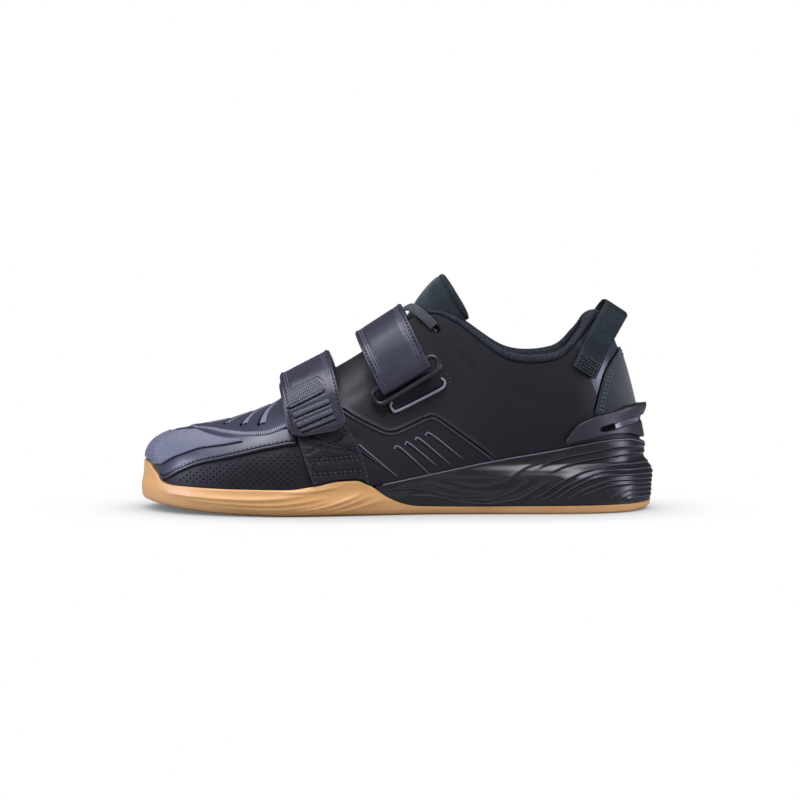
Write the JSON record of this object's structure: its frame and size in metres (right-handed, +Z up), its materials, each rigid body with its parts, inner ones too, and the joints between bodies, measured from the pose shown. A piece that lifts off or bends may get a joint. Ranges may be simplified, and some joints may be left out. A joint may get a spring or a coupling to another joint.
{
  "type": "weightlifting shoe",
  "caption": "Low-cut weightlifting shoe with a raised stiff heel wedge, gum outsole, strap over the ball, ring strap over the instep, heel clip and pull loop.",
  "frame": {"origin": "centre of the bounding box in plan, on the floor plane the shoe stands on", "axes": "+X to the heel, -X to the toe, +Y to the inner side, -Y to the outer side, +Z up"},
  "size_m": [0.2919, 0.1048, 0.1333],
  "materials": {
    "gum_rubber": "satin gum",
    "wedge": "semi gloss moulded",
    "lining_mesh": "knit mesh",
    "upper_leather": "matte",
    "nubuck": "nubuck",
    "clip_plastic": "matte moulded",
    "ring_metal": "dark satin",
    "webbing": "ribbed webbing",
    "lace": "flat woven"
  },
  "bodies": {
    "root": {"outsole": "gum_rubber", "midsole": "wedge", "insole": "lining_mesh", "upper": "upper_leather", "mudguard": "upper_leather", "toe_cap": "upper_leather", "heel_counter": "nubuck", "heel_clip": "clip_plastic", "front_strap": "upper_leather", "front_strap_base": "upper_leather", "top_strap": "upper_leather", "top_ring": "ring_metal", "front_ring": "ring_metal", "top_ring_tab": "upper_leather", "front_ring_tab": "upper_leather", "pull_loop": "webbing", "collar_lining": "lining_mesh", "tongue": "nubuck", "lace_top": "lace", "lace_bar_1": "lace", "lace_bar_2": "lace"}
  },
  "joints": []
}
